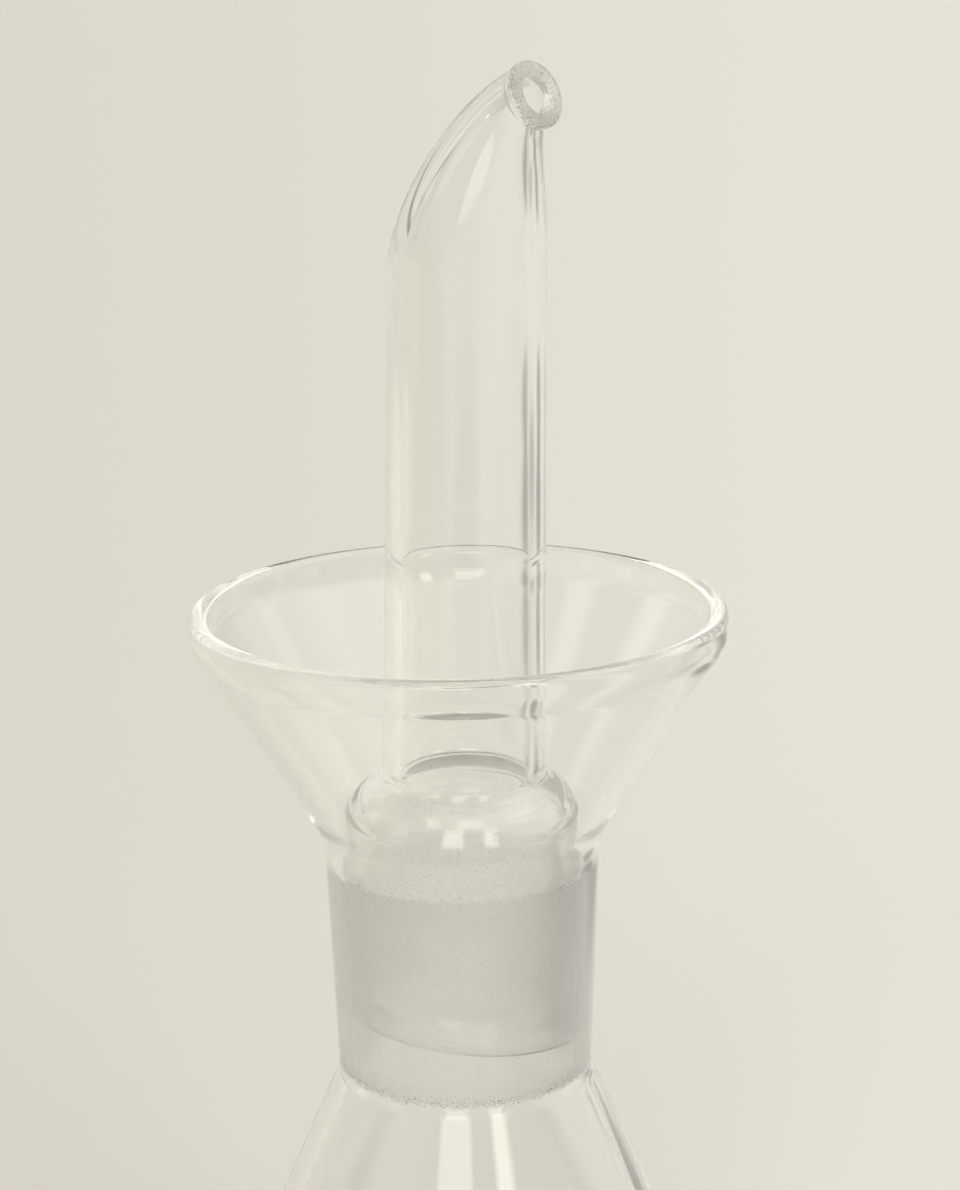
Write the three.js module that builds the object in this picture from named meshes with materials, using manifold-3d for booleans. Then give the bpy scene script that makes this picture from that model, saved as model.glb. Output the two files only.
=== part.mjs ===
// A glass cruet in two pieces. The bottle is a conical flask whose ground neck opens into a wide
// funnel. The pourer is a hollow ground stopper drawn out into a tube, which ends in a bent and
// tapered beak. What drips from the beak falls into the funnel and runs back into the flask
// through a shallow channel down the stopper.
// Millimetres, +Z up. The origin is on the flask's axis, in the plane that it stands on, and the
// beak points along +X.
import * as THREE from "three";
import { mergeVertices } from "three/addons/utils/BufferGeometryUtils.js";
import Module from "manifold-3d";

// Heights of the whole
const RIM_Z = 136.5; // middle of the funnel's rounded lip
const NECK_TOP_Z = RIM_Z - 25.9; // where the funnel meets the neck
const NECK_FOOT_Z = RIM_Z - 54.9; // where the neck meets the flask's cone

// Flask
const GLASS_WALL = 1.9;
const HEEL_R = 7.5; // rounding between the foot and the cone
const CONE_HALF_ANGLE = THREE.MathUtils.degToRad(23.2); // spreads the foot to 92 mm across
const STANDING_R = 31; // inner edge of the flat ring that it stands on
const PUNT_R = 25; // edge of the base's pushed-up middle
const PUNT_RISE = 1.4;
const BASE_THICKNESS = 2.4;
const PUNT_FILLET = 12;
const STANDING_FILLET = 4;

// Neck and funnel
const NECK_FOOT_R = 14.87;
const NECK_TOP_R = 16;
const FUNNEL_HALF_ANGLE = THREE.MathUtils.degToRad(32.3);
const LIP_R = 30.7; // outside of the lip
const LIP_THICKNESS = 2.1;
const LIP_TURN_UP = 4; // rounding where the funnel turns up into the lip
const NECK_TOP_FILLET = 10;
const NECK_FOOT_FILLET = 4.4;
const INNER_FILLET = 3;
const SOCKET_TOP_R = 13.9; // ground bore of the neck, at its two ends
const SOCKET_FOOT_R = 12.75;
const SOCKET_TOP_Z = RIM_Z - 28;
const THROAT_R = SOCKET_TOP_R + 0.15; // the bore just above its ground stretch

// Stopper
const JOINT_GAP = 0.25; // between the ground stopper and its socket
const STOPPER_END_Z = RIM_Z - 48.3; // its lower end, on the axis
const STOPPER_WALL = 1.85;
const END_SLOPE = THREE.MathUtils.degToRad(7.5); // its lower end is cut obliquely
const END_TURN = THREE.MathUtils.degToRad(41); // the cut's low side, turned from the beak
const SHOULDER_Z = RIM_Z - 19.6; // where side and top of the shoulder would meet
const SHOULDER_FILLET = 4.6;
const SHOULDER_INSET = 0.2; // the unground shoulder is a little slimmer than the joint
const INNER_SHOULDER_Z = SHOULDER_Z - STOPPER_WALL - 0.6;
const LONG_END_Z = STOPPER_END_Z - 4; // the end before its oblique cut
const CHANNEL_R = 1.5; // the drip channel's own radius
const CHANNEL_DEPTH = 0.8;
const CHANNEL_TOP_Z = RIM_Z - 22.5;

// Tube
const TUBE_FOOT_Z = RIM_Z - 18.3;
const TUBE_FOOT_R = 9.45;
const TUBE_TOP_R = 8.8;
const TUBE_WALL = 1.95;
const TUBE_FOOT_FILLET = 1;
const BORE_FOOT_FILLET = 1.5;
const TUBE_LEAN = 0.0253; // sideways travel for each millimetre of height, towards the beak
const LEAN_PIVOT_Z = RIM_Z - 40; // where the leaning tube's axis crosses the flask's

// Beak, in the upright plane through +X. Its back wall leans over and its front wall stays up.
const BEAK_START_Z = RIM_Z + 42;
const MOUTH_X = 10.05; // centre of the mouth, from the tube's axis
const MOUTH_Z = RIM_Z + 59.5;
const MOUTH_RISE = THREE.MathUtils.degToRad(22.5); // how far the mouth looks above level
const BEAK_NECK_R = 3.5; // just behind the mouth's bead
const BEAK_NECK_BACK = 1.6; // how far behind the mouth that is
const BEAK_WALL = 1.35;
const MOUTH_BEAD_R = 0.84; // half the thickness of the fire-polished bead
const MOUTH_RING_R = 2.96; // radius of the bead's centre line
const BEAD_FROM = THREE.MathUtils.degToRad(-35); // where the bead leaves the outer wall
const BEAD_TO = THREE.MathUtils.degToRad(215); // and where it meets the inner one
const BACK_PULL = [2, 10.5]; // how long the back wall keeps its direction at each end
const FRONT_PULL = [6, 1.4];

// Facets
const BOTTLE_SIDES = 56;
const POURER_SIDES = 40;
const ARC_STEP = THREE.MathUtils.degToRad(16);
const BEAK_STEPS = 12;
const BEAD_STEPS = 8;

const GLASS = { color: 0xeef0ea, roughness: 0.04, metalness: 0, transparent: true, opacity: 0.4 };

const wasm = await Module();
wasm.setup();

// Points of an arc that rounds off a corner between its two neighbours.
function filletArc(corner, before, after, radius) {
  const toBefore = before.clone().sub(corner).normalize();
  const toAfter = after.clone().sub(corner).normalize();
  const half = Math.acos(toBefore.dot(toAfter)) / 2;
  const middle = toBefore.clone().add(toAfter).normalize();
  const centre = corner.clone().addScaledVector(middle, radius / Math.sin(half));
  const start = corner.clone().addScaledVector(toBefore, radius / Math.tan(half)).sub(centre);
  const end = corner.clone().addScaledVector(toAfter, radius / Math.tan(half)).sub(centre);
  const sweep = Math.atan2(start.cross(end), start.dot(end));
  const steps = Math.max(2, Math.ceil(Math.abs(sweep) / ARC_STEP));
  const points = [];
  for (let k = 0; k <= steps; k++) {
    points.push(start.clone().rotateAround(new THREE.Vector2(), (sweep * k) / steps).add(centre));
  }
  return points;
}

// An outline through corners given as [radius, height, fillet], with each fillet as an arc.
function roundedOutline(corners) {
  const places = corners.map(([r, z]) => new THREE.Vector2(r, z));
  return corners.flatMap(([, , fillet], i) =>
    fillet ? filletArc(places[i], places[i - 1], places[i + 1], fillet) : [places[i]],
  );
}

// Radius of a straight taper at a height, from its radii at two other heights.
function taper(z, lowZ, lowR, highZ, highR) {
  return lowR + ((highR - lowR) * (z - lowZ)) / (highZ - lowZ);
}

function socketRadius(z) {
  return taper(z, NECK_FOOT_Z, SOCKET_FOOT_R, SOCKET_TOP_Z, SOCKET_TOP_R);
}

// A geometry's solid, from positions alone.
function toSolid(geometry) {
  geometry.deleteAttribute("normal");
  geometry.deleteAttribute("uv");
  const merged = mergeVertices(geometry, 1e-4);
  return new wasm.Manifold(
    new wasm.Mesh({
      numProp: 3,
      vertProperties: merged.attributes.position.array,
      triVerts: new Uint32Array(merged.index.array),
    }),
  );
}

function toGeometry(solid) {
  const mesh = solid.getMesh();
  const geometry = new THREE.BufferGeometry();
  geometry.setAttribute("position", new THREE.BufferAttribute(mesh.vertProperties, 3));
  geometry.setIndex(new THREE.BufferAttribute(mesh.triVerts, 1));
  return geometry;
}

function glassMesh(name, solid) {
  const mesh = new THREE.Mesh(toGeometry(solid), new THREE.MeshStandardMaterial(GLASS));
  mesh.name = name;
  return mesh;
}

// Outside of the bottle: up from the middle of the base, round the heel, up cone, neck and funnel.
function bottleOutside() {
  const coneSpread = NECK_FOOT_Z * Math.tan(CONE_HALF_ANGLE);
  const funnelHeight = (LIP_R - NECK_TOP_R) / Math.tan(FUNNEL_HALF_ANGLE);
  return [
    [0, PUNT_RISE],
    [PUNT_R, PUNT_RISE, PUNT_FILLET],
    [STANDING_R, 0, STANDING_FILLET],
    [NECK_FOOT_R + coneSpread, 0, HEEL_R],
    [NECK_FOOT_R, NECK_FOOT_Z, NECK_FOOT_FILLET],
    [NECK_TOP_R, NECK_TOP_Z, NECK_TOP_FILLET],
    [LIP_R, NECK_TOP_Z + funnelHeight, LIP_TURN_UP],
  ];
}

// Inside of the bottle: down funnel, socket and cone to the middle of the floor.
function bottleInside() {
  const inset = GLASS_WALL / Math.cos(CONE_HALF_ANGLE);
  const coneSpread = (NECK_FOOT_Z - BASE_THICKNESS) * Math.tan(CONE_HALF_ANGLE);
  const lipInner = LIP_R - LIP_THICKNESS;
  const funnelInset = GLASS_WALL / Math.cos(FUNNEL_HALF_ANGLE);
  const throatZ = NECK_TOP_Z + (THROAT_R + funnelInset - NECK_TOP_R) / Math.tan(FUNNEL_HALF_ANGLE);
  const lipZ = throatZ + (lipInner - THROAT_R) / Math.tan(FUNNEL_HALF_ANGLE);
  return [
    [lipInner, lipZ, INNER_FILLET],
    [THROAT_R, throatZ, INNER_FILLET],
    [SOCKET_TOP_R, SOCKET_TOP_Z],
    [SOCKET_FOOT_R, NECK_FOOT_Z, INNER_FILLET],
    [NECK_FOOT_R - inset + coneSpread, BASE_THICKNESS, HEEL_R - GLASS_WALL],
    [STANDING_R, BASE_THICKNESS, PUNT_FILLET],
    [PUNT_R, BASE_THICKNESS + PUNT_RISE, PUNT_FILLET],
    [0, BASE_THICKNESS + PUNT_RISE],
  ];
}

function bottleSolid() {
  const lipFillet = LIP_THICKNESS / 2 - 0.01;
  const lip = [
    [LIP_R, RIM_Z + LIP_THICKNESS / 2, lipFillet],
    [LIP_R - LIP_THICKNESS, RIM_Z + LIP_THICKNESS / 2, lipFillet],
  ];
  const outline = roundedOutline([...bottleOutside(), ...lip, ...bottleInside()]);
  const turned = new THREE.LatheGeometry(outline, BOTTLE_SIDES);
  turned.rotateX(Math.PI / 2);
  return toSolid(turned);
}

// How far the tube's axis has moved towards the beak at a height. The stopper stays upright.
function leanAt(z) {
  const above = THREE.MathUtils.smoothstep(z, SHOULDER_Z - SHOULDER_FILLET, TUBE_FOOT_Z);
  return above * TUBE_LEAN * (z - LEAN_PIVOT_Z);
}

// A ring of points round a centre in the upright plane. Its first point lies along the angle
// "tilt", measured in that plane from +X towards +Z.
function ring(x, z, radius, tilt) {
  const points = [];
  for (let k = 0; k < POURER_SIDES; k++) {
    const turn = (k / POURER_SIDES) * 2 * Math.PI;
    const along = radius * Math.cos(turn);
    const side = radius * Math.sin(turn);
    points.push(new THREE.Vector3(x + along * Math.cos(tilt), side, z + along * Math.sin(tilt)));
  }
  return points;
}

function straightRings(outline) {
  return outline.map((point) => ring(leanAt(point.y), point.y, point.x, 0));
}

// The beak's back and front walls as curves of (distance from the tube's axis, height).
function beakWalls() {
  const facing = new THREE.Vector2(Math.cos(MOUTH_RISE), Math.sin(MOUTH_RISE));
  const across = new THREE.Vector2(-facing.y, facing.x);
  const neck = new THREE.Vector2(MOUTH_X, MOUTH_Z).addScaledVector(facing, -BEAK_NECK_BACK);
  return [[-1, BACK_PULL], [1, FRONT_PULL]].map(([side, [pullUp, pullBack]]) => {
    const start = new THREE.Vector2(side * TUBE_TOP_R, BEAK_START_Z);
    const end = neck.clone().addScaledVector(across, -side * BEAK_NECK_R);
    return new THREE.CubicBezierCurve(
      start,
      new THREE.Vector2(start.x, start.y + pullUp),
      end.clone().addScaledVector(facing, -pullBack),
      end,
    );
  });
}

// Rings of the beak. Each is a circle whose diameter joins the back wall to the front wall, less
// the thickness of the glass for the inner ones.
function beakRings(inner) {
  const [back, front] = beakWalls();
  const rings = [];
  for (let k = 1; k <= BEAK_STEPS; k++) {
    const t = k / BEAK_STEPS;
    const rear = back.getPoint(t);
    const fore = front.getPoint(t);
    const across = fore.clone().sub(rear);
    const centre = fore.clone().add(rear).multiplyScalar(0.5);
    const wall = inner ? THREE.MathUtils.lerp(TUBE_WALL, BEAK_WALL, t) : 0;
    const x = centre.x + leanAt(centre.y);
    rings.push(ring(x, centre.y, across.length() / 2 - wall, across.angle()));
  }
  return inner ? rings.reverse() : rings;
}

// The rounded bead at the mouth, from its outer back edge over the front to its inner back edge.
function mouthRings() {
  const rings = [];
  for (let k = 0; k <= BEAD_STEPS; k++) {
    const turn = THREE.MathUtils.lerp(BEAD_FROM, BEAD_TO, k / BEAD_STEPS);
    const forward = MOUTH_BEAD_R * (Math.sin(turn) - 1);
    const x = MOUTH_X + forward * Math.cos(MOUTH_RISE) + leanAt(MOUTH_Z);
    const z = MOUTH_Z + forward * Math.sin(MOUTH_RISE);
    const radius = MOUTH_RING_R + MOUTH_BEAD_R * Math.cos(turn);
    rings.push(ring(x, z, radius, MOUTH_RISE - Math.PI / 2));
  }
  return rings;
}

// A skin over rings of points that closes on itself, the last ring joined to the first.
function closedSkin(rings) {
  const geometry = new THREE.BufferGeometry().setFromPoints(rings.flat());
  const faces = [];
  const at = (i, k) => (i % rings.length) * POURER_SIDES + (k % POURER_SIDES);
  rings.forEach((_, i) => {
    for (let k = 0; k < POURER_SIDES; k++) {
      faces.push(at(i, k), at(i, k + 1), at(i + 1, k + 1));
      faces.push(at(i, k), at(i + 1, k + 1), at(i + 1, k));
    }
  });
  geometry.setIndex(faces);
  return geometry;
}

// The straight pourer's walls, made longer than the stopper so that its end can be cut obliquely.
function stopperOutside() {
  return [
    [socketRadius(LONG_END_Z) - JOINT_GAP, LONG_END_Z],
    [socketRadius(SHOULDER_Z) - JOINT_GAP - SHOULDER_INSET, SHOULDER_Z, SHOULDER_FILLET],
    [TUBE_FOOT_R, TUBE_FOOT_Z, TUBE_FOOT_FILLET],
    [TUBE_TOP_R, BEAK_START_Z],
  ];
}

function stopperInside() {
  const inset = JOINT_GAP + STOPPER_WALL;
  return [
    [TUBE_TOP_R - TUBE_WALL, BEAK_START_Z],
    [TUBE_FOOT_R - TUBE_WALL, TUBE_FOOT_Z - TUBE_WALL, BORE_FOOT_FILLET],
    [socketRadius(INNER_SHOULDER_Z) - inset, INNER_SHOULDER_Z, SHOULDER_FILLET - STOPPER_WALL],
    [socketRadius(LONG_END_Z) - inset, LONG_END_Z],
  ];
}

// A block whose sloping top takes off the stopper's lower end.
function endCutter() {
  const size = 60;
  const block = new THREE.BoxGeometry(size, size, size);
  block.translate(0, 0, -size / 2);
  block.rotateY(END_SLOPE);
  block.rotateZ(END_TURN);
  block.translate(0, 0, STOPPER_END_Z);
  return toSolid(block);
}

// A rod that follows the stopper's tapered back and sinks the drip channel into it.
function channelCutter() {
  const bottomZ = STOPPER_END_Z - 6;
  const length = CHANNEL_TOP_Z - bottomZ;
  const middleZ = bottomZ + length / 2;
  const rod = new THREE.CylinderGeometry(CHANNEL_R, CHANNEL_R, length, 16);
  rod.rotateX(Math.PI / 2);
  rod.rotateY(-Math.atan2(socketRadius(CHANNEL_TOP_Z) - socketRadius(bottomZ), length));
  rod.translate(-(socketRadius(middleZ) - JOINT_GAP + CHANNEL_R - CHANNEL_DEPTH), 0, middleZ);
  return toSolid(rod);
}

function pourerSolid() {
  const skin = closedSkin([
    ...straightRings(roundedOutline(stopperOutside())),
    ...beakRings(false),
    ...mouthRings(),
    ...beakRings(true),
    ...straightRings(roundedOutline(stopperInside())),
  ]);
  return toSolid(skin).subtract(endCutter()).subtract(channelCutter());
}

const cruet = new THREE.Group();
cruet.add(glassMesh("bottle", bottleSolid()));
cruet.add(glassMesh("pourer", pourerSolid()));

export default cruet;
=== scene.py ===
# %% [markdown]
# # A glass cruet
# This lesson dresses an oil cruet of clear glass: a conical flask with a funnel for a rim, and a
# hollow stopper drawn out into a pouring tube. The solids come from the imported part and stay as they
# are. They have facets, though, and glass shows every facet twice, once in its reflection and once in
# what it bends. So each solid gets a smooth twin here, worked out from the same sizes.

# %% The frame
import math

import bpy
import numpy as np
from mathutils import Matrix, Vector


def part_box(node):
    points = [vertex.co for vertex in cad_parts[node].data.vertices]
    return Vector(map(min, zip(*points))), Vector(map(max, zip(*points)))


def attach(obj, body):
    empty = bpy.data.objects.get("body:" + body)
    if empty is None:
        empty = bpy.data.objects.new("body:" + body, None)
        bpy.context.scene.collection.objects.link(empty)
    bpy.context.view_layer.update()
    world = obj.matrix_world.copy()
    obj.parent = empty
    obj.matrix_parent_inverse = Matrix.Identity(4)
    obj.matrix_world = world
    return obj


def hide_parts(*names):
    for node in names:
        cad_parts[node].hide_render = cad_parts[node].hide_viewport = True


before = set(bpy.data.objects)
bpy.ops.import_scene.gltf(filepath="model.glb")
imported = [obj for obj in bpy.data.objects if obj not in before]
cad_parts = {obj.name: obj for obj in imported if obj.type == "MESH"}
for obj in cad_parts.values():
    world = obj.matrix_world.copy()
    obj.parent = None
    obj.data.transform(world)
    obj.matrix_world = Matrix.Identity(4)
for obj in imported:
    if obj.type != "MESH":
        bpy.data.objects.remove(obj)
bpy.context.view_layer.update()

MM = 0.001
reach = {name: [round(v / MM, 1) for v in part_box(name)[1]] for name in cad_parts}
print("the solids reach, in mm:", reach)

# %% [markdown]
# ## Sizes
# The bottle's and the pourer's heights come from the frame, so that the smooth twins follow the solids.
# The other sizes are those of the real glass, in millimetres: they can't be read off a box. Heights
# are counted from the middle of the funnel's lip, because everything in sight lies near it.

# %% The sizes that both pieces share
LIP_THICKNESS = 2.1
RIM_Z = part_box("bottle")[1].z / MM - LIP_THICKNESS / 2
NECK_TOP_Z = RIM_Z - 25.9
NECK_FOOT_Z = RIM_Z - 54.9
SOCKET_TOP_Z = RIM_Z - 28
SOCKET_TOP_R = 13.9
SOCKET_FOOT_R = 12.75
GLASS_WALL = 1.9
print(f"the lip lies {RIM_Z:.2f} mm above the table, the neck's foot {NECK_FOOT_Z:.2f} mm")


def smoothstep(x):
    """0 below 0, 1 above 1, and 3x^2 - 2x^3 between."""
    x = np.clip(x, 0, 1)
    return x * x * (3 - 2 * x)


def socket_radius(z):
    """Radius of the neck's ground bore: a straight taper between its foot and its top."""
    along = (z - NECK_FOOT_Z) / (SOCKET_TOP_Z - NECK_FOOT_Z)
    return SOCKET_FOOT_R + (SOCKET_TOP_R - SOCKET_FOOT_R) * along


# %% [markdown]
# ## Outlines with rounded corners
# Blown glass has no sharp corners, because surface tension rounds them while it is soft. An outline
# is therefore given as its few corners, each with the radius of its rounding. Between roundings the
# line is cut into short steps, so that the finish can change along a straight stretch too.

# %% From corners to a fine outline
STEP = 0.7  # longest step along a straight stretch
TURN_STEP = math.radians(6)  # largest turn in a rounding


def rounded(corners):
    """An outline through corners (radius, height, rounding).

    A rounding of radius f touches both sides at f / tan(half the corner's angle) from the corner.
    Its centre lies on the bisector, f / sin(half the angle) away.
    """
    corners = np.array(corners, float)
    places, fillets = corners[:, :2], corners[:, 2]
    stretches = [places[:1]]
    for i in range(1, len(places) - 1):
        here, before, after = places[i], places[i - 1] - places[i], places[i + 1] - places[i]
        before, after = before / np.linalg.norm(before), after / np.linalg.norm(after)
        half = math.acos(before @ after) / 2
        middle = (before + after) / np.linalg.norm(before + after)
        centre = here + middle * fillets[i] / math.sin(half)
        start = here + before * fillets[i] / math.tan(half) - centre
        end = here + after * fillets[i] / math.tan(half) - centre
        sweep = math.atan2(start[0] * end[1] - start[1] * end[0], start @ end)
        turn = np.linspace(0, sweep, max(2, math.ceil(abs(sweep) / TURN_STEP) + 1))[:, None]
        across = np.array([-start[1], start[0]])
        stretches.append(centre + start * np.cos(turn) + across * np.sin(turn))
    stretches.append(places[-1:])
    line = [stretches[0]]
    for stretch in stretches[1:]:
        gap = stretch[0] - line[-1][-1]
        share = np.linspace(0, 1, max(2, math.ceil(np.linalg.norm(gap) / STEP) + 1))[1:-1, None]
        line += [line[-1][-1] + gap * share, stretch]
    return np.concatenate(line)


corner_points = len(rounded([(0, 0, 0), (10, 0, 5), (10, 10, 0)]))
print(f"a right angle with sides of 10 mm and a rounding of 5 mm becomes {corner_points} points")

# %% [markdown]
# ## From a grid to a mesh
# Both pieces are grids of points: rings one way, places round the ring the other. A grid becomes quads
# by joining each point to its neighbours, and the last place in a ring to the first. The flask's
# outline ends on the axis at both ends, so its first and last ring are closed with one point each. The
# pourer is open at both ends, like any pipe, so its last ring is joined to its first and the wall
# closes on itself.

# %% Grid to mesh
def quads(rings, places, closed):
    """The corners of all quads in one row, with their u and v: ring by ring, and from place to place.
    A closed grid has one more row of quads, from its last ring to its first."""
    index = np.arange(rings * places).reshape(rings, places)
    nearby = np.roll(index, -1, axis=1)
    rows = rings if closed else rings - 1
    corners = np.stack([index, nearby, np.roll(nearby, -1, axis=0), np.roll(index, -1, axis=0)], -1)
    u, v, step = np.arange(places) / places, np.arange(rings + 1) / rings, 1 / places
    corner_u = np.stack([u, u + step, u + step, u], -1)[None].repeat(rows, 0)
    corner_v = np.stack([v[:-1], v[:-1], v[1:], v[1:]], -1)[:rows, None].repeat(places, 1)
    return corners[:rows].reshape(-1), corner_u.reshape(-1), corner_v.reshape(-1)


def caps(rings, places):
    """The corners of the triangles round two poles, with their u and v. The poles are the two points
    after the grid's own, and a pole's u lies half-way between its neighbours'."""
    index = np.arange(places)
    nearby = np.roll(index, -1)
    last_ring, first_pole = (rings - 1) * places, rings * places
    low = np.stack([np.full(places, first_pole), nearby, index], -1)
    high = np.stack([np.full(places, first_pole + 1), last_ring + index, last_ring + nearby], -1)
    u, step = index / places, 1 / places
    low_u = np.stack([u + step / 2, u + step, u], -1)
    high_u = np.stack([u + step / 2, u, u + step], -1)
    low_v = np.tile([0, 0.5 / rings, 0.5 / rings], (places, 1))
    pairs = (low, high), (low_u, high_u), (low_v, 1 - low_v)
    return [np.concatenate(pair).reshape(-1) for pair in pairs]


def grid_mesh(name, grid, ground, coarse, poles=None):
    """A mesh over a grid of points (rings, places, xyz) in millimetres.

    ground tells for each point how far inside a ground zone it lies, in millimetres, and coarse how
    rough the grinding is there, from 0 to 1. Both go into attributes for the material. poles are the
    two points that close the ends; without them the last ring joins the first. The UV map runs once
    round (u) and once along the outline (v).
    """
    rings, places = grid.shape[:2]
    points = grid.reshape(-1, 3)
    values = np.stack([ground.reshape(-1), np.broadcast_to(coarse, ground.shape).reshape(-1)])
    faces = quads(rings, places, poles is None)
    sizes = np.full(len(faces[0]) // 4, 4)
    if poles is not None:
        points = np.concatenate([points, poles])
        values = np.concatenate([values, values[:, [0, -1]]], axis=1)
        faces = [np.concatenate(pair) for pair in zip(faces, caps(rings, places))]
        sizes = np.concatenate([sizes, np.full(2 * places, 3)])
    corners, corner_u, corner_v = faces
    mesh = bpy.data.meshes.new(name)
    mesh.vertices.add(len(points))
    mesh.vertices.foreach_set("co", (points * MM).astype(np.float32).reshape(-1))
    mesh.loops.add(len(corners))
    mesh.loops.foreach_set("vertex_index", corners.astype(np.int32))
    mesh.polygons.add(len(sizes))
    starts = np.cumsum(sizes) - sizes
    mesh.polygons.foreach_set("loop_start", starts.astype(np.int32))
    mesh.update(calc_edges=True)
    uv = np.stack([corner_u, corner_v], -1).astype(np.float32)
    mesh.uv_layers.new(name="around").data.foreach_set("uv", uv.reshape(-1))
    for attribute, value in zip(("ground", "coarse"), values.astype(np.float32)):
        mesh.attributes.new(attribute, "FLOAT", "POINT").data.foreach_set("value", value)
    mesh.polygons.foreach_set("use_smooth", np.ones(len(sizes), bool))
    mesh.validate()
    piece = bpy.data.objects.new(name, mesh)
    bpy.context.scene.collection.objects.link(piece)
    print(f"{name}: {len(sizes)} faces")
    return piece


# %% [markdown]
# ## The bottle
# The real flask is blown in a mould, and its neck and funnel are worked over the flame, so it is a
# round body about one axis: an outline turned about it. The outline starts in the middle of the base,
# goes up the outside, over the lip, down the inside and ends in the middle of the floor. The heel is
# rounded, and the lip is a thicker bead, because a flame-polished edge draws itself together.

# %% The bottle's outline
CONE_HALF_ANGLE = math.radians(23.2)
HEEL_R = 7.5
PUNT_R, PUNT_RISE, STANDING_R, BASE_THICKNESS = 25, 1.4, 31, 2.4
NECK_FOOT_R, NECK_TOP_R = 14.87, 16
FUNNEL_HALF_ANGLE = math.radians(32.3)
LIP_R = 30.7
THROAT_R = SOCKET_TOP_R + 0.15
PUNT_ROUNDING, STANDING_ROUNDING = 12, 4
NECK_FOOT_ROUNDING, NECK_TOP_ROUNDING, THROAT_ROUNDING, SOCKET_ROUNDING = 4.4, 10, 8, 3
LIP_OUTER_FOOT_ROUNDING, LIP_INNER_FOOT_ROUNDING = 4, 3
HEEL_PLAY = 0.04  # keeps the heel within the solid's own reach
AXIS_RING_R = 0.5  # the ring next to each pole
HAIR = 0.01  # keeps two points apart that would fall on one place


def bottle_outline():
    """The outline as (radius, height), and how many of its points belong to the outside."""
    cone, funnel = math.tan(CONE_HALF_ANGLE), math.tan(FUNNEL_HALF_ANGLE)
    inset = GLASS_WALL / math.cos(CONE_HALF_ANGLE)
    lip_top = RIM_Z + LIP_THICKNESS / 2
    lip_inner = LIP_R - LIP_THICKNESS
    lip_rounding = LIP_THICKNESS / 2 - HAIR
    throat_z = NECK_TOP_Z + (THROAT_R + GLASS_WALL / math.cos(FUNNEL_HALF_ANGLE) - NECK_TOP_R) / funnel
    floor_corner = NECK_FOOT_R - inset + (NECK_FOOT_Z - BASE_THICKNESS) * cone
    outside = [
        (AXIS_RING_R, PUNT_RISE, 0),
        (PUNT_R, PUNT_RISE, PUNT_ROUNDING),
        (STANDING_R, 0, STANDING_ROUNDING),
        (NECK_FOOT_R + NECK_FOOT_Z * cone - HEEL_PLAY, 0, HEEL_R),
        (NECK_FOOT_R, NECK_FOOT_Z, NECK_FOOT_ROUNDING),
        (NECK_TOP_R, NECK_TOP_Z, NECK_TOP_ROUNDING),
        (LIP_R, NECK_TOP_Z + (LIP_R - NECK_TOP_R) / funnel, LIP_OUTER_FOOT_ROUNDING),
        (LIP_R, lip_top, lip_rounding),
    ]
    inside = [
        (lip_inner, lip_top, lip_rounding),
        (lip_inner, throat_z + (lip_inner - THROAT_R) / funnel, LIP_INNER_FOOT_ROUNDING),
        (THROAT_R, throat_z, THROAT_ROUNDING),
        (SOCKET_TOP_R, SOCKET_TOP_Z, SOCKET_ROUNDING),
        (SOCKET_FOOT_R, NECK_FOOT_Z, SOCKET_ROUNDING),
        (floor_corner, BASE_THICKNESS, HEEL_R - GLASS_WALL),
        (STANDING_R, BASE_THICKNESS, PUNT_ROUNDING),
        (PUNT_R, BASE_THICKNESS + PUNT_RISE, PUNT_ROUNDING),
        (AXIS_RING_R, BASE_THICKNESS + PUNT_RISE, 0),
    ]
    line = rounded(outside + inside)
    line[:, 1] = np.maximum(line[:, 1], 0)
    return line, int(np.argmax(line[:, 1]))


outline, lip_at = bottle_outline()
print(f"the outline has {len(outline)} points, {lip_at} of them outside")

# %% [markdown]
# The bore of the neck is ground so that the stopper seats in it. The grinding starts a little below
# the funnel and runs right down to the neck's foot, where it is coarsest, because only the tool's end
# reached there. How deep each point lies inside that zone is kept with the mesh, because only the inner
# skin is ground and a position alone can't tell the two skins apart.

# %% The bottle's mesh
BOTTLE_PLACES = 160
SOCKET_GROUND_TOP_Z = RIM_Z - 29.4
NOT_GROUND = -5.0  # depth of a point that lies in no ground zone
SOCKET_COARSE, SOCKET_FOOT_COARSE = 0.6, 1.0
COARSE_FOOT_HEIGHT, COARSE_FADE = 3.5, 3.0


def bottle_piece():
    """The outline turned about the axis: a point at radius r and angle a is (r cos a, r sin a, z)."""
    angle = np.arange(BOTTLE_PLACES) / BOTTLE_PLACES * 2 * np.pi
    radius, z = outline[:, 0, None], outline[:, 1, None]
    grid = np.stack(np.broadcast_arrays(radius * np.cos(angle), radius * np.sin(angle), z), -1)
    depth = np.minimum(outline[:, 1] - NECK_FOOT_Z, SOCKET_GROUND_TOP_Z - outline[:, 1])
    depth = np.where(np.arange(len(outline)) > lip_at, np.maximum(depth, NOT_GROUND), NOT_GROUND)
    ground = np.broadcast_to(depth[:, None], grid.shape[:2])
    near_foot = smoothstep((NECK_FOOT_Z + COARSE_FOOT_HEIGHT - z) / COARSE_FADE)
    coarse = SOCKET_COARSE + (SOCKET_FOOT_COARSE - SOCKET_COARSE) * near_foot
    poles = np.array([[0, 0, outline[0, 1]], [0, 0, outline[-1, 1]]])
    return grid_mesh("bottle_glass", grid, ground, coarse, poles)


bottle = bottle_piece()

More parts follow.
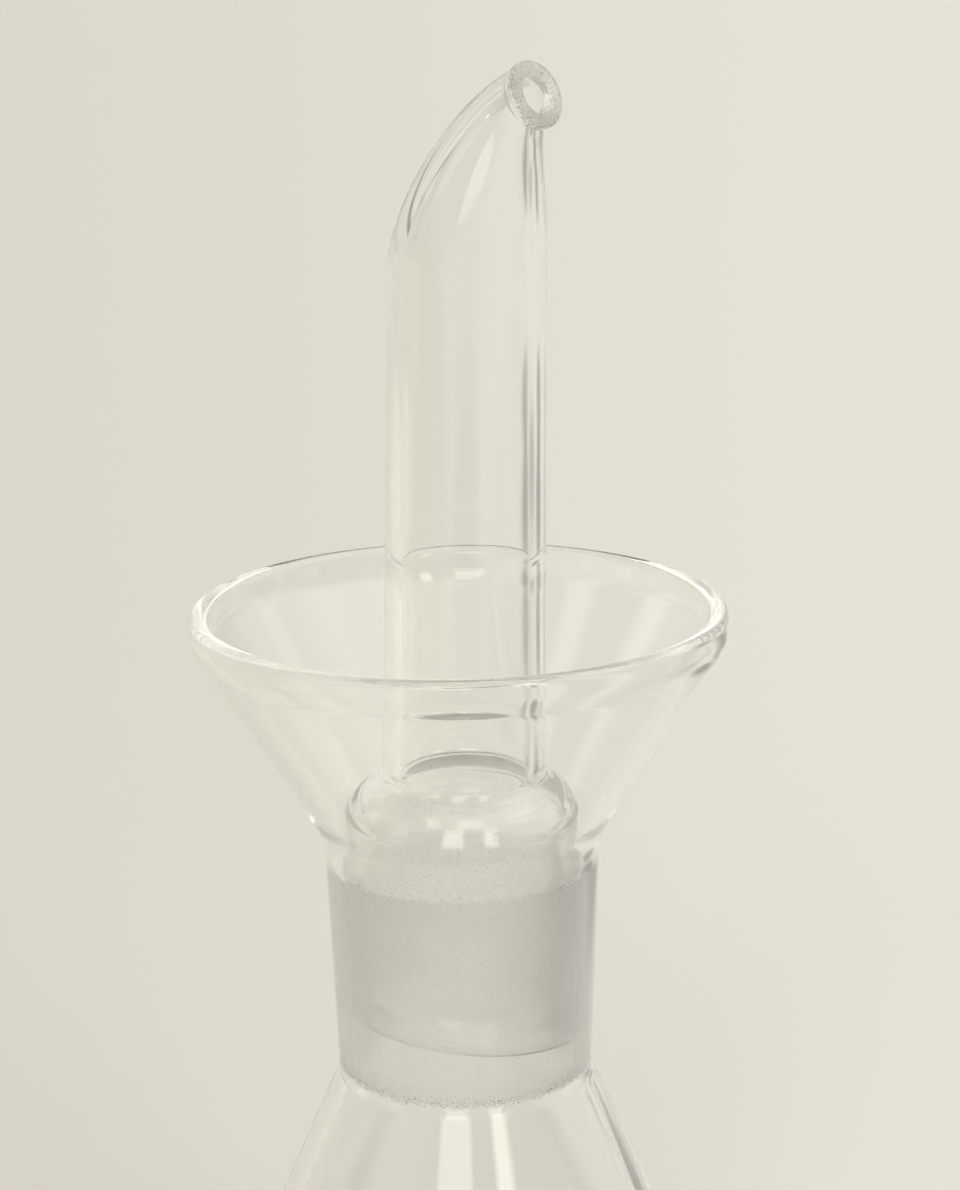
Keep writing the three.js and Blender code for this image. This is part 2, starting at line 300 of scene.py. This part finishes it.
# %% [markdown]
# ## The pourer
# The glassblower joins a hollow stopper to a straight tube, grinds the stopper, and then heats the
# tube's end, draws it thinner and bends it over. From the tube's foot the stopper's shoulder slopes
# down to a bevel, which catches the window, and the grinding starts under the bevel. Seen from the side,
# the beak's back wall leans over while its front wall stays nearly upright. So the beak is two curves in
# the upright plane, and each section is the circle whose diameter joins them. The tube leans towards the
# beak by a degree and a half, as it does on the real piece.

# %% The pourer's sizes
JOINT_GAP = 0.12
STOPPER_END_Z = RIM_Z - 48.3
END_WALL, END_EDGE = 0.6, 0.25  # the wall thins towards its rounded lower end
END_TAPER, END_TAPER_ROUNDING = 3.5, 3.0
BEVEL_FOOT_Z, BEVEL_FOOT_PLAY = RIM_Z - 22.7, 0.3
BEVEL_TOP_R, BEVEL_TOP_Z = 12.35, RIM_Z - 20.1
BEVEL_FOOT_ROUNDING, INNER_FOOT_ROUNDING = 0.6, 2.0
BEVEL_TOP_ROUNDING, TUBE_FOOT_FILLET = 4.0, 1.2
TUBE_FOOT_Z = RIM_Z - 18.2
TUBE_FOOT_R, TUBE_TOP_R, TUBE_WALL = 9.45, 8.8, 1.95
TUBE_LEAN, LEAN_PIVOT_Z = 0.0253, RIM_Z - 40
BEAK_START_Z = RIM_Z + 40
MOUTH = np.array([10.05, RIM_Z + 59.42])
MOUTH_RISE = math.radians(22.5)
BEAK_NECK_R, BEAK_NECK_BACK, BEAK_WALL = 3.5, 1.6, 1.35
BEAD_R, BEAD_RING_R = 0.84, 2.96
print(f"the tube is {2 * TUBE_FOOT_R} to {2 * TUBE_TOP_R} mm wide")
print(f"the mouth lies {MOUTH[1] - RIM_Z:.1f} mm above the lip")


def lean_at(z):
    """How far the tube's axis has moved towards the beak: nothing in the stopper, then in proportion."""
    share = smoothstep((z - BEVEL_FOOT_Z) / (TUBE_FOOT_Z - BEVEL_FOOT_Z))
    return share * TUBE_LEAN * (z - LEAN_PIVOT_Z)


# %% [markdown]
# A section is a centre in the upright plane, a tilt and a radius. The straight part takes its sections
# from an outline, with no tilt. The beak takes them from two Bezier curves, and the mouth's bead from
# an arc that runs from the outer wall over the front to the inner one. A curve leaves each end straight
# on, for a pull's length, and the longer the pull, the later it turns.

# %% Sections of the straight part, the beak and the mouth
def straight_sections(line):
    """Rows of (centre x, centre z, tilt, radius) for an outline of (radius, height)."""
    radius, z = line.T
    return np.stack([lean_at(z), z, np.zeros_like(z), radius], -1)


def bezier(start, start_pull, end_pull, end, t):
    """The cubic Bezier curve: its four points weighted by (1-t)^3, 3t(1-t)^2, 3t^2(1-t) and t^3."""
    t = t[:, None]
    start_half = (1 - t) ** 3 * start + 3 * t * (1 - t) ** 2 * start_pull
    return start_half + 3 * t**2 * (1 - t) * end_pull + t**3 * end


BEAK_STEPS = 48
BACK_PULLS, FRONT_PULLS = (5.7, 9.9), (8.0, 1.4)
BEAD_FLATNESS = 0.7
BEAD_TURN = np.radians(np.linspace(-35, 215, 34))
facing = np.array([math.cos(MOUTH_RISE), math.sin(MOUTH_RISE)])
upward = np.array([-facing[1], facing[0]])


def beak_sections(inner):
    """Each section's diameter joins the back wall to the front wall, less the glass for the inner skin."""
    t = np.arange(1, BEAK_STEPS + 1) / BEAK_STEPS
    neck = MOUTH - facing * BEAK_NECK_BACK
    back_end, front_end = neck + upward * BEAK_NECK_R, neck - upward * BEAK_NECK_R
    back_start = np.array([-TUBE_TOP_R, BEAK_START_Z])
    front_start = np.array([TUBE_TOP_R, BEAK_START_Z])
    rise = np.array([0, 1.0])
    back_pulls = back_start + rise * BACK_PULLS[0], back_end - facing * BACK_PULLS[1]
    front_pulls = front_start + rise * FRONT_PULLS[0], front_end - facing * FRONT_PULLS[1]
    back = bezier(back_start, *back_pulls, back_end, t)
    front = bezier(front_start, *front_pulls, front_end, t)
    across = front - back
    centre = (front + back) / 2
    wall = (TUBE_WALL + (BEAK_WALL - TUBE_WALL) * smoothstep(t)) * inner
    radius = np.linalg.norm(across, axis=1) / 2 - wall
    tilt = np.arctan2(across[:, 1], across[:, 0])
    sections = np.stack([centre[:, 0] + lean_at(centre[:, 1]), centre[:, 1], tilt, radius], -1)
    return sections[::-1] if inner else sections


def flattened(x):
    """A sine or cosine that stays longer near its ends: its size raised to a power below one."""
    return np.sign(x) * np.abs(x) ** BEAD_FLATNESS


def mouth_sections():
    """A bead of nearly round section: its centre line is a ring, and an arc turns about that line."""
    forward = BEAD_R * (flattened(np.sin(BEAD_TURN)) - 1)
    centre = MOUTH + forward[:, None] * facing
    radius = BEAD_RING_R + BEAD_R * flattened(np.cos(BEAD_TURN))
    tilt = np.full_like(radius, MOUTH_RISE - math.pi / 2)
    return np.stack([centre[:, 0] + lean_at(MOUTH[1]), centre[:, 1], tilt, radius], -1)


print(f"the beak has {len(beak_sections(False))} sections and the bead {len(mouth_sections())}")

# %% [markdown]
# The stopper's inner skin is its outer one moved in by the wall. On the shoulder and at the tube's foot
# both skins bend about the same centre, so that one sees through without a break. The stopper's lower
# end is cut off obliquely, and its back carries a shallow channel that lets drips run down and air come up.
# Both are made by moving the grid's own points: near the end the heights follow the sloping cut, and at
# the back the radius dips in a narrow bell curve. The stopper is ground finely, and the mouth is ground
# coarsely where it was cut off.

# %% The pourer's mesh
POURER_PLACES = 160
END_SLOPE, END_TURN = math.tan(math.radians(7.5)), math.radians(41)
END_REACH = 12.0  # how far up the stopper the cut's slope fades out
END_GROUND_HEIGHT = 1.0  # how far the inner skin is ground at the cut
CHANNEL_DEPTH, CHANNEL_WIDTH, CHANNEL_TOP_Z, CHANNEL_FADE = 0.5, 2.6, RIM_Z - 24.5, 3.0
STOPPER_COARSE, MOUTH_COARSE = 0.3, 1.0
MOUTH_GROUND_MIDDLE, MOUTH_GROUND_HALF = math.radians(95), math.radians(70)
DEEPEST_GROUND = 30.0  # where the depth stops growing


def moved_in(corners, wall):
    """Corners (radius, height) moved in by the wall. Where sides with unit normals m and n meet, the
    corner moves by wall (m + n) / (1 + m.n)."""
    corners = np.array(corners, float)
    along = np.diff(corners, axis=0)
    normal = np.stack([-along[:, 1], along[:, 0]], -1) / np.linalg.norm(along, axis=1)[:, None]
    before, after = normal[[0, *range(len(along))]], normal[[*range(len(along)), -1]]
    return corners + wall * (before + after) / (1 + (before * after).sum(-1))[:, None]


def pourer_outlines():
    """The outer and the inner outline of the straight part, from the stopper's end to the beak and back."""
    end_r = socket_radius(STOPPER_END_Z) - JOINT_GAP
    corners = [
        (end_r, STOPPER_END_Z),
        (socket_radius(BEVEL_FOOT_Z) - JOINT_GAP - BEVEL_FOOT_PLAY, BEVEL_FOOT_Z),
        (BEVEL_TOP_R, BEVEL_TOP_Z),
        (TUBE_FOOT_R, TUBE_FOOT_Z),
        (TUBE_TOP_R, BEAK_START_Z),
    ]
    inner = moved_in(corners, TUBE_WALL)
    outside = rounded([
        (end_r - END_WALL / 2, STOPPER_END_Z, 0),
        (*corners[0], END_EDGE),
        (*corners[1], BEVEL_FOOT_ROUNDING),
        (*corners[2], BEVEL_TOP_ROUNDING),
        (*corners[3], TUBE_FOOT_FILLET),
        (*corners[4], 0),
    ])
    inside = rounded([
        (TUBE_TOP_R - TUBE_WALL, BEAK_START_Z, 0),
        (*inner[3], TUBE_FOOT_FILLET + TUBE_WALL),
        (*inner[2], BEVEL_TOP_ROUNDING - TUBE_WALL),
        (*inner[1], INNER_FOOT_ROUNDING),
        (end_r - TUBE_WALL, STOPPER_END_Z + END_TAPER, END_TAPER_ROUNDING),
        (end_r - END_WALL, STOPPER_END_Z, END_EDGE),
        (end_r - END_WALL / 2 - HAIR, STOPPER_END_Z, 0),
    ])
    return outside, inside


def channel_at(turn, radius, z):
    """The channel's share at each point: a bell curve of the distance from the back, gone at its top."""
    bell = np.exp(-(((turn - np.pi) * radius / CHANNEL_WIDTH) ** 2))
    return bell * smoothstep((CHANNEL_TOP_Z - z) / CHANNEL_FADE)


def slanted(point):
    """The points after the slanting cut, and how far each went down.

    A point goes down by the slope times its distance towards the low side, less the higher it lies.
    It goes in or out by the socket's taper times that, and so keeps its distance from the socket.
    """
    share = smoothstep(1 - (point[..., 2] - STOPPER_END_Z) / END_REACH)
    drop = share * END_SLOPE * (point[..., 0] * math.cos(END_TURN) + point[..., 1] * math.sin(END_TURN))
    taper = (SOCKET_TOP_R - SOCKET_FOOT_R) / (SOCKET_TOP_Z - NECK_FOOT_Z)
    scale = 1 - drop * taper / SOCKET_FOOT_R
    x, y, z = np.moveaxis(point, -1, 0)
    return np.stack([x * scale, y * scale, z - drop], -1), drop


def pourer_piece():
    """Circles of the given centre, tilt and radius. At turn a, a point lies radius cos a along the
    tilted diameter and radius sin a to the side."""
    outside, inside = pourer_outlines()
    sections = np.concatenate([
        straight_sections(outside), beak_sections(False), mouth_sections(),
        beak_sections(True), straight_sections(inside)])
    x, z, tilt, radius = (column[:, None] for column in sections.T)
    turn = np.arange(POURER_PLACES) / POURER_PLACES * 2 * np.pi
    outer = (np.arange(len(sections)) < len(outside))[:, None]
    radius = radius - CHANNEL_DEPTH * channel_at(turn, radius, z) * outer
    point, drop = slanted(np.stack(np.broadcast_arrays(
        x + radius * np.cos(turn) * np.cos(tilt),
        radius * np.sin(turn),
        z + radius * np.cos(turn) * np.sin(tilt)), -1))
    end_depth = STOPPER_END_Z + END_GROUND_HEIGHT - (point[..., 2] + drop)
    depth = np.where(outer, BEVEL_FOOT_Z - point[..., 2], end_depth)
    coarse = np.full_like(depth, STOPPER_COARSE)
    first_of_mouth = len(outside) + BEAK_STEPS
    mouth = slice(first_of_mouth, first_of_mouth + len(BEAD_TURN))
    depth[mouth] = BEAD_R * (MOUTH_GROUND_HALF - np.abs(BEAD_TURN - MOUTH_GROUND_MIDDLE))[:, None]
    coarse[mouth] = MOUTH_COARSE
    return grid_mesh("pourer_glass", point, np.clip(depth, NOT_GROUND, DEEPEST_GROUND), coarse)


pourer = pourer_piece()

# %% [markdown]
# ## Clear glass with ground zones
# Borosilicate is nearly colourless. What makes it look like glass is that it bends light by its
# refractive index, 1.47, and that grinding scatters it. One Principled shader does both: full
# transmission, and a roughness that rises where the "ground" attribute is above nought, by as much as
# the "coarse" attribute says. The border isn't a clean line, because the grinding tool leaves a ragged
# edge, so noise shifts it by about half a millimetre. Grinding also leaves small pits that hold dust.
# They are a fine dark grain in the colour, and strongest along a coarse zone's border.

# %% The glass material
REFRACTIVE_INDEX = 1.47
CLEAR_COLOR, PIT_COLOR = (0.995, 0.995, 0.99, 1), (0, 0, 0, 1)
CLEAR_ROUGHNESS, FINE_ROUGHNESS, COARSE_ROUGHNESS = 0.01, 0.1, 0.45
RAGGED_SCALE, RAGGED_DETAIL, RAGGED_REACH = 3500, 2, 1.2
BORDER_WIDTH = 0.25  # over which the finish changes, in millimetres
PIT_SCALE, PIT_DETAIL, PIT_LOW, PIT_HIGH = 6000, 1, 0.48, 0.72
PIT_DEPTH, BORDER_PIT_DEPTH = 0.25, 0.6
BORDER_NEAR, BORDER_FAR, BORDER_COARSE = 0.3, 1.6, 0.5


def link(tree, source, target):
    tree.links.new(source, target)


def math_node(tree, operation, *values, clamp=False):
    """A Math node whose inputs are sockets or numbers."""
    node = tree.nodes.new("ShaderNodeMath")
    node.operation = operation
    node.use_clamp = clamp
    for socket, value in zip(node.inputs, values):
        if isinstance(value, bpy.types.NodeSocket):
            link(tree, value, socket)
        else:
            socket.default_value = value
    return node.outputs[0]


def range_node(tree, value, low, high, target_low, target_high):
    """A Map Range node that goes smoothly from one value to another."""
    node = tree.nodes.new("ShaderNodeMapRange")
    node.interpolation_type = "SMOOTHSTEP"
    link(tree, value, node.inputs["Value"])
    node.inputs["From Min"].default_value = low
    node.inputs["From Max"].default_value = high
    node.inputs["To Min"].default_value = target_low
    node.inputs["To Max"].default_value = target_high
    return node.outputs[0]


def noise_node(tree, coordinates, scale, detail):
    """A Noise Texture node: scale in bumps a metre, detail in octaves."""
    node = tree.nodes.new("ShaderNodeTexNoise")
    node.inputs["Scale"].default_value = scale
    node.inputs["Detail"].default_value = detail
    link(tree, coordinates, node.inputs["Vector"])
    return node.outputs["Fac"]


def attribute_node(tree, name):
    """The value of a mesh attribute."""
    node = tree.nodes.new("ShaderNodeAttribute")
    node.attribute_name = name
    return node.outputs["Fac"]


MIX_SOCKETS = {"VECTOR": (4, 5, 1), "RGBA": (6, 7, 2)}  # both inputs and the result, by type of data


def mix_node(tree, data_type, share, first, second):
    """A Mix node that goes from one constant to another."""
    node = tree.nodes.new("ShaderNodeMix")
    node.data_type = data_type
    first_at, second_at, result_at = MIX_SOCKETS[data_type]
    link(tree, share, node.inputs[0])
    node.inputs[first_at].default_value = first
    node.inputs[second_at].default_value = second
    return node.outputs[result_at]


def pit_grain(tree, place, inside, coarse):
    """How dark the pits are: dots of noise, deeper near the border of a coarse zone."""
    near_border = range_node(tree, inside, BORDER_NEAR, BORDER_FAR, 1, 0)
    border_depth = range_node(tree, coarse, BORDER_COARSE, 1, 0, BORDER_PIT_DEPTH)
    depth = math_node(tree, "MULTIPLY_ADD", near_border, border_depth, PIT_DEPTH)
    dots = range_node(tree, noise_node(tree, place, PIT_SCALE, PIT_DETAIL), PIT_LOW, PIT_HIGH, 0, 1)
    return math_node(tree, "MULTIPLY", dots, depth)


def glass_material():
    """Clear glass whose roughness and colour change where it is ground."""
    material = bpy.data.materials.new("cruet_glass")
    material.use_nodes = True
    tree = material.node_tree
    shader = tree.nodes["Principled BSDF"]
    shader.inputs["IOR"].default_value = REFRACTIVE_INDEX
    shader.inputs["Transmission Weight"].default_value = 1.0
    place = tree.nodes.new("ShaderNodeTexCoord").outputs["Object"]
    coarse = attribute_node(tree, "coarse")
    noise = noise_node(tree, place, RAGGED_SCALE, RAGGED_DETAIL)
    shift = math_node(tree, "MULTIPLY_ADD", noise, 2 * RAGGED_REACH, -RAGGED_REACH)
    inside = math_node(tree, "ADD", attribute_node(tree, "ground"), shift)
    mask = math_node(tree, "MULTIPLY_ADD", inside, 1 / BORDER_WIDTH, 0.5, clamp=True)
    ground_roughness = range_node(tree, coarse, 0, 1, FINE_ROUGHNESS, COARSE_ROUGHNESS)
    roughness = math_node(tree, "MULTIPLY_ADD", mask, ground_roughness, CLEAR_ROUGHNESS)
    link(tree, roughness, shader.inputs["Roughness"])
    pitted = math_node(tree, "MULTIPLY", mask, pit_grain(tree, place, inside, coarse))
    link(tree, mix_node(tree, "RGBA", pitted, CLEAR_COLOR, PIT_COLOR), shader.inputs["Base Color"])
    print(f"{material.name}: {len(tree.nodes)} nodes")
    return material


glass = glass_material()
for piece, node in ((bottle, "bottle"), (pourer, "pourer")):
    piece.data.materials.append(glass)
    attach(piece, "root")
    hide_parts(node)

# %% [markdown]
# ## The camera
# The photograph was taken from close by with a long lens, looking down at the rim by fifteen degrees.
# The camera stands where the rim's and the neck's ellipses come out with their real proportions. The
# beak points to the right and nearly as much towards the viewer, so the camera is turned from it.

# %% The camera
VIEW_TURN = math.radians(41.5)  # from the beak's plane to the picture's
PITCH = math.radians(14.94)
ROLL = math.radians(0.75)
SENSOR_WIDTH, LENS = 36, 90
CAMERA_PLACE = Vector((2.45, -326.8, 89.4 + RIM_Z)) * MM
CLIP_START, CLIP_END = 0.01, 100


def photo_camera():
    """Axes of the camera: to the right, up and back, rolled, then turned with its place about +Z."""
    data = bpy.data.cameras.new("photo_camera")
    data.sensor_width, data.lens = SENSOR_WIDTH, LENS
    camera = bpy.data.objects.new("photo_camera", data)
    bpy.context.scene.collection.objects.link(camera)
    turned = Matrix.Rotation(VIEW_TURN, 4, "Z")
    pitched = Matrix.Rotation(math.radians(90) - PITCH, 4, "X")
    rolled = Matrix.Rotation(-ROLL, 4, "Z")
    camera.matrix_world = turned @ Matrix.Translation(CAMERA_PLACE) @ pitched @ rolled
    data.clip_start, data.clip_end = CLIP_START, CLIP_END
    bpy.context.scene.camera = camera
    return camera


camera = photo_camera()
print("camera at", [round(v / MM, 1) for v in camera.matrix_world.translation])

# %% [markdown]
# ## Floor
# Glass shows what stands round it, so what lies about matters as much as the glass. The floor is a wide
# pale sheet, a little greyer at the left, which is painted shade where less light falls. Softly darker and
# paler places lie on it outside the picture: the darker ones are painted shade, as where someone's shade
# falls, and the paler ones painted pools of light. The glass shows them as the lines and bands that draw
# it against the pale ground. A hollow tube spreads what lies behind it, for one, so a darker strip of
# painted shade behind the cruet and to its right becomes the fine dark line up the tube.

# %% The floor
FLOOR_R, FLOOR_SIDES = 8.0, 96
FLOOR_ROUGHNESS = 0.9
# The left tone is greyer as painted shade, where less light falls; the right one is the lit sheet.
FLOOR_LEFT = (0.585, 0.58, 0.566)
FLOOR_RIGHT = (0.65, 0.65, 0.655)
FLOOR_SPREAD = 0.2  # sideways per distance from the camera, where either tone is reached
NOT_BEHIND = 0.01  # keeps a distance that is divided by from falling to nought
# Pools of painted shade where the change of tone is below nought, and of painted light where it is above.
PAINTED_SHADE_AND_LIGHT = (  # azimuth from the camera to the right, distance, inner and outer radius, change of tone
    (0, 0.6, 0.1, 0.3, -0.5),
    (80, 0.6, 0.3, 0.46, -0.5),
    (150, 0.48, 0.02, 0.1, -0.55),
    (151, 0.63, 0.04, 0.14, -0.55),
    (152, 0.8, 0.05, 0.15, -0.5),
    (129, 0.67, 0.03, 0.15, -0.3),
    (141, 0.3, 0.03, 0.095, -0.6),
    (-85, 0.7, 0.2, 0.7, 0.22),
    (-145, 0.75, 0.1, 0.27, 0.15),
    (-50, 0.12, 0.05, 0.22, 0.35),
    (60, 0.16, 0.03, 0.2, -0.35),
)


def toward(azimuth, elevation):
    """Unit vector at an azimuth and an elevation in degrees: (cos a cos e, sin a cos e, sin e). The
    azimuth is counted from the direction of the camera, to the right in the picture."""
    turn, rise = VIEW_TURN - math.pi / 2 + math.radians(azimuth), math.radians(elevation)
    return Vector((math.cos(turn) * math.cos(rise), math.sin(turn) * math.cos(rise), math.sin(rise)))


def vector_node(tree, operation, vector, constant, output="Value"):
    """A Vector Math node between a vector and a constant one."""
    node = tree.nodes.new("ShaderNodeVectorMath")
    node.operation = operation
    link(tree, vector, node.inputs[0])
    node.inputs[1].default_value = constant
    return node.outputs[output]


def dot_node(tree, vector, direction):
    """How far a vector goes along a direction."""
    return vector_node(tree, "DOT_PRODUCT", vector, direction)


def painted_pools(tree, place):
    """Painted pools of shade and light, each a factor that fades out between two distances, multiplied."""
    tone = 1.0
    for azimuth, distance, inner, outer, change in PAINTED_SHADE_AND_LIGHT:
        gap = vector_node(tree, "DISTANCE", place, toward(azimuth, 0) * distance)
        shade = range_node(tree, gap, inner, outer, 1 + change, 1)
        tone = math_node(tree, "MULTIPLY", tone, shade)
    return tone


def floor_color(tree, place):
    """The left tone mixed into the right one, by how far a place lies to the side per distance."""
    below_camera = (*camera.matrix_world.translation.xy, 0)
    away = vector_node(tree, "SUBTRACT", place, below_camera, "Vector")
    side, ahead = dot_node(tree, away, toward(90, 0)), dot_node(tree, away, toward(180, 0))
    slope = math_node(tree, "DIVIDE", side, math_node(tree, "MAXIMUM", ahead, NOT_BEHIND))
    share = range_node(tree, slope, -FLOOR_SPREAD, FLOOR_SPREAD, 0, 1)
    return mix_node(tree, "VECTOR", share, FLOOR_LEFT, FLOOR_RIGHT)


def floor_material():
    """A matt sheet: its colour times its painted shade and light."""
    material = bpy.data.materials.new("floor")
    material.use_nodes = True
    tree = material.node_tree
    shader = tree.nodes["Principled BSDF"]
    shader.inputs["Roughness"].default_value = FLOOR_ROUGHNESS
    shader.inputs["Specular IOR Level"].default_value = 0.0
    place = tree.nodes.new("ShaderNodeTexCoord").outputs["Object"]
    color = tree.nodes.new("ShaderNodeVectorMath")
    color.operation = "SCALE"
    link(tree, floor_color(tree, place), color.inputs[0])
    link(tree, painted_pools(tree, place), color.inputs["Scale"])
    link(tree, color.outputs["Vector"], shader.inputs["Base Color"])
    return material


def floor_piece():
    """A disc: one ring of points, (R cos a, R sin a, 0)."""
    angle = np.arange(FLOOR_SIDES) / FLOOR_SIDES * 2 * np.pi
    ring = np.stack([np.cos(angle), np.sin(angle), np.zeros_like(angle)], -1) * FLOOR_R
    mesh = bpy.data.meshes.new("floor")
    mesh.from_pydata(ring.tolist(), [], [list(range(FLOOR_SIDES))])
    mesh.update()
    mesh.materials.append(floor_material())
    floor = bpy.data.objects.new("floor", mesh)
    bpy.context.scene.collection.objects.link(floor)
    print(f"the floor reaches {FLOOR_R} m and has {len(PAINTED_SHADE_AND_LIGHT)} changes of tone")
    return floor


floor_piece()

# %% [markdown]
# ## Light
# A photographer lights glass with large soft fields: each one shows as a pale stripe along the tube or
# the cone, and between them the glass stays dark. The room gives all the light here. It is dim, with
# four wide soft fields: one at the left, the ceiling, one at the right and a low one behind the cruet.
# A window in front, with a bar across and a bar upright, is the bright patches on the stopper's bevel
# and the streak down the cone. Upright strips at the sides are the stripes in the funnel, and a thin
# darker strip on the horizon is the line inside the beak's bend.

# %% The room
ROOM_COLOR = (1.0, 0.976, 0.865)
ROOM_BASE = 0.45
EXPOSURE = 1.055  # of the room and its fields, against the panes
FIELDS = (  # azimuth from the camera to the right, elevation, inner and outer radius, brightness
    (-55, 12, 8, 28, 0.25),
    (60, 72, 15, 50, 1.3),
    (105, 28, 15, 40, 0.5),
    (-145, 5, 20, 50, 0.2),
)
PANES = (  # wall's azimuth; middle and half width, middle and half height, per distance; brightness
    (7, -0.30, 0.20, 0.68, 0.2, 4.5),
    (7, 0.42, 0.13, 0.68, 0.2, 5.0),
    (7, -0.30, 0.25, 0.26, 0.22, 2.5),
    (7, 0.42, 0.13, 0.26, 0.22, 3.8),
    (-70, 0, 0.13, 0.8, 0.5, 1.0),
    (-113, 0, 0.13, 0.5, 0.35, 0.9),
    (110, 0, 0.1, 0.5, 0.35, 0.5),
    (-145, 0, 0.35, 0.0, 0.015, -0.6),
)
PANE_EDGE = 0.04


def stretch_node(tree, direction, axis, ahead, middle, half):
    """1 where a direction's slope along an axis lies within a stretch, fading to 0 at its ends."""
    slope = math_node(tree, "DIVIDE", dot_node(tree, direction, axis), ahead)
    off = math_node(tree, "ABSOLUTE", math_node(tree, "SUBTRACT", slope, middle))
    return range_node(tree, off, half - PANE_EDGE, half + PANE_EDGE, 1, 0)


def pane_node(tree, direction, azimuth, middle, half_width, height, half_height, brightness):
    """A pane in an upright wall at unit distance: the product of its stretches across and up."""
    ahead = math_node(tree, "MAXIMUM", dot_node(tree, direction, toward(azimuth, 0)), NOT_BEHIND)
    across = stretch_node(tree, direction, toward(azimuth + 90, 0), ahead, middle, half_width)
    upright = stretch_node(tree, direction, (0, 0, 1), ahead, height, half_height)
    return math_node(tree, "MULTIPLY", math_node(tree, "MULTIPLY", brightness, across), upright)


def room():
    """The world's light by direction: a base, fields that fade between two radii, and panes."""
    world = bpy.data.worlds.new("room")
    bpy.context.scene.world = world
    world.use_nodes = True
    tree = world.node_tree
    shade = tree.nodes["Background"]
    shade.inputs["Color"].default_value = (*ROOM_COLOR, 1)
    direction = tree.nodes.new("ShaderNodeTexCoord").outputs["Generated"]
    total = ROOM_BASE * EXPOSURE
    for azimuth, elevation, inner, outer, brightness in FIELDS:
        toward_field = dot_node(tree, direction, toward(azimuth, elevation))
        edge, core = math.cos(math.radians(outer)), math.cos(math.radians(inner))
        field = range_node(tree, toward_field, edge, core, 0, brightness * EXPOSURE)
        total = math_node(tree, "ADD", total, field)
    for pane in PANES:
        total = math_node(tree, "ADD", total, pane_node(tree, direction, *pane))
    link(tree, total, shade.inputs["Strength"])
    print(f"the room has {len(FIELDS)} fields and {len(PANES)} panes and strips")


room()

# %% [markdown]
# ## Colours as seen
# The photograph is pale and has little contrast, so its tones are shown as they are, without a film
# curve. Light has to pass up to eight skins of glass, and it is mirrored to and fro inside each wall,
# which needs more bounces than usual. Light that is cut short would leave black specks.

# %% View settings and bounces
GLASS_BOUNCES, DIFFUSE_BOUNCES = 200, 4
scene = bpy.context.scene
scene.view_settings.view_transform = "Standard"
scene.cycles.max_bounces = GLASS_BOUNCES
scene.cycles.transmission_bounces = GLASS_BOUNCES
scene.cycles.glossy_bounces = GLASS_BOUNCES
scene.cycles.diffuse_bounces = DIFFUSE_BOUNCES
print("colours are shown by the view", scene.view_settings.view_transform)
